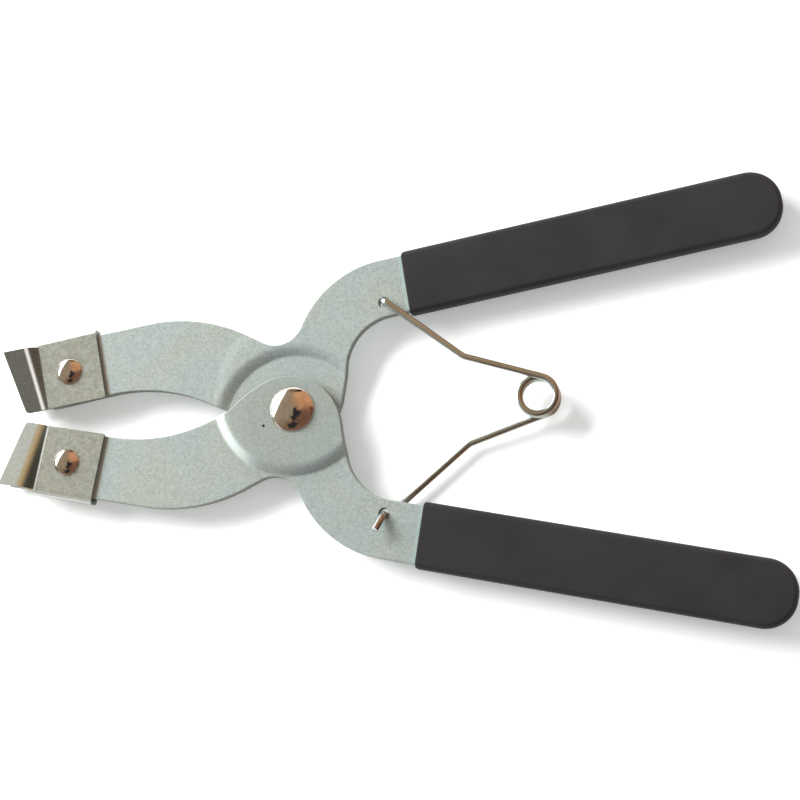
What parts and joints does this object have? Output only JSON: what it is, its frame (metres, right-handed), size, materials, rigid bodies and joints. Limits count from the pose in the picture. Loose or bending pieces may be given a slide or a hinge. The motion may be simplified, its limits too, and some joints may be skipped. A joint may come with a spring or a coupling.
{
  "type": "piston ring expander pliers",
  "caption": "Spring-loaded ring expander pliers: squeezing the sleeved handles opens the jaws, whose flared clips hold the ends of a split ring.",
  "frame": {"origin": "on the pivot axis, at the flat rear face of the pivot rivet", "axes": "+X along the tool from the pivot to the handles, +Y toward the upper lever, +Z toward the domed side of the rivets"},
  "size_m": [0.2156, 0.1202, 0.012],
  "materials": {
    "zinc_plate": "satin zinc plate with a fine mottled grain",
    "clip_sheet": "satin plated sheet",
    "bright_rivet": "polished",
    "dipped_vinyl": "matte soft vinyl, dipped",
    "spring_wire": "drawn wire"
  },
  "bodies": {
    "lower_arm": {"lower_lever": "zinc_plate", "lower_grip": "dipped_vinyl", "lower_clip": "clip_sheet", "lower_clip_rivet": "bright_rivet", "pivot_rivet": "bright_rivet"},
    "upper_arm": {"upper_lever": "zinc_plate", "upper_grip": "dipped_vinyl", "upper_clip": "clip_sheet", "upper_clip_rivet": "bright_rivet"},
    "spring_front": {"spring_front_half": "spring_wire"},
    "spring_rear": {"spring_rear_half": "spring_wire"}
  },
  "joints": [
    {"name": "jaw_pivot", "type": "hinge", "parent": "lower_arm", "child": "upper_arm", "pos_m": [0, 0, 0.0046], "axis": [0, 0, -1], "range_deg": [-1, 30], "stiffness_Nm_per_rad": 0.19},
    {"name": "spring_hook", "type": "hinge", "parent": "upper_arm", "child": "spring_front", "pos_m": [0.0252, 0.02915, 0.0046], "axis": [0, 0, 1], "range_deg": [-1.5, 26.5]},
    {"name": "spring_coil", "type": "hinge", "parent": "spring_front", "child": "spring_rear", "pos_m": [0.0667, 0.0019, 0.0046], "axis": [0, 0, -1], "range_deg": [-1.5, 20.5]}
  ],
  "couplings": [
    {"joint": "spring_hook", "follows": "jaw_pivot", "ratio": 0.852},
    {"joint": "spring_coil", "follows": "jaw_pivot", "ratio": 0.648}
  ]
}
